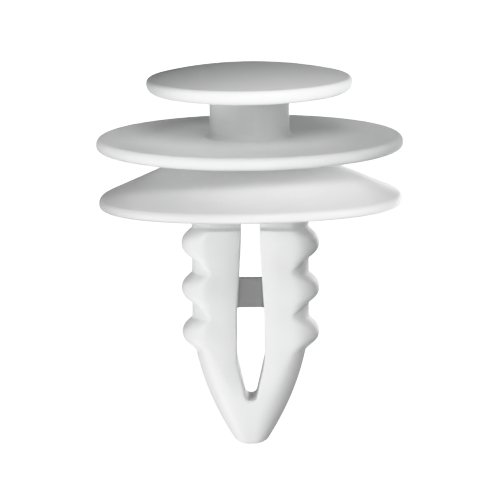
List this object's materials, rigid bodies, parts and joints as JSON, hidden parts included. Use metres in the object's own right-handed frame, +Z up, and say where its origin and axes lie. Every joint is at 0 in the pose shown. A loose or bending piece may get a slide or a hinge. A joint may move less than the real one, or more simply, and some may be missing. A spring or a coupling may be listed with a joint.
{
  "type": "push-in trim panel retainer clip",
  "caption": "Push-in trim clip: domed head button on a short neck, round flange, hollow umbrella sealing skirt, and a split barbed stem with bowed legs and a blunt nose.",
  "frame": {"origin": "the end of the nose tip, on the stem's axis", "axes": "+Z up along the stem from the nose to the head; +X across the barbs; +Y through the slot, from front to back"},
  "size_m": [0.02, 0.02, 0.0249],
  "materials": {
    "white_nylon": "satin, as moulded",
    "white_nylon_skirt": "satin, as moulded, thin and flexible",
    "white_nylon_stem": "satin, as moulded, with a soft sheen on the barbs"
  },
  "bodies": {
    "clip_body": {"head_disc": "white_nylon", "head_neck": "white_nylon", "flange_disc": "white_nylon", "stem_hub": "white_nylon_stem", "skirt_web": "white_nylon_skirt", "cross_web": "white_nylon_stem"},
    "skirt_rim": {"skirt_lip": "white_nylon_skirt"},
    "left_arm": {"left_upper_leg": "white_nylon_stem"},
    "left_foot": {"left_lower_leg": "white_nylon_stem"},
    "left_nose": {"nose_left_half": "white_nylon_stem"},
    "right_arm": {"right_upper_leg": "white_nylon_stem"},
    "right_foot": {"right_lower_leg": "white_nylon_stem"},
    "right_nose": {"nose_right_half": "white_nylon_stem"}
  },
  "joints": [
    {"name": "skirt_flex", "type": "slide", "parent": "clip_body", "child": "skirt_rim", "axis": [0, 0, 1], "range_m": [0, 0.0012], "deforming": ["skirt_web"]},
    {"name": "left_leg_flex", "type": "hinge", "parent": "clip_body", "child": "left_arm", "pos_m": [-0.0022, 0, 0.0169], "axis": [0, -1, 0], "range_deg": [0, 4.5], "deforming": ["cross_web"]},
    {"name": "left_knee_flex", "type": "hinge", "parent": "left_arm", "child": "left_foot", "pos_m": [-0.00223, 0, 0.0063], "axis": [0, 1, 0], "range_deg": [0, 19.6]},
    {"name": "left_nose_flex", "type": "hinge", "parent": "left_foot", "child": "left_nose", "pos_m": [-0.00136, 0, 0.0032], "axis": [0, -1, 0], "range_deg": [0, 15.1]},
    {"name": "right_leg_flex", "type": "hinge", "parent": "clip_body", "child": "right_arm", "pos_m": [0.0022, 0, 0.0169], "axis": [0, 1, 0], "range_deg": [0, 4.5]},
    {"name": "right_knee_flex", "type": "hinge", "parent": "right_arm", "child": "right_foot", "pos_m": [0.00223, 0, 0.0063], "axis": [0, -1, 0], "range_deg": [0, 19.6]},
    {"name": "right_nose_flex", "type": "hinge", "parent": "right_foot", "child": "right_nose", "pos_m": [0.00136, 0, 0.0032], "axis": [0, 1, 0], "range_deg": [0, 15.1]}
  ],
  "couplings": [
    {"joint": "left_knee_flex", "follows": "left_leg_flex", "ratio": 4.35},
    {"joint": "left_nose_flex", "follows": "left_leg_flex", "ratio": 3.35},
    {"joint": "right_leg_flex", "follows": "left_leg_flex", "ratio": 1},
    {"joint": "right_knee_flex", "follows": "left_leg_flex", "ratio": 4.35},
    {"joint": "right_nose_flex", "follows": "left_leg_flex", "ratio": 3.35}
  ]
}
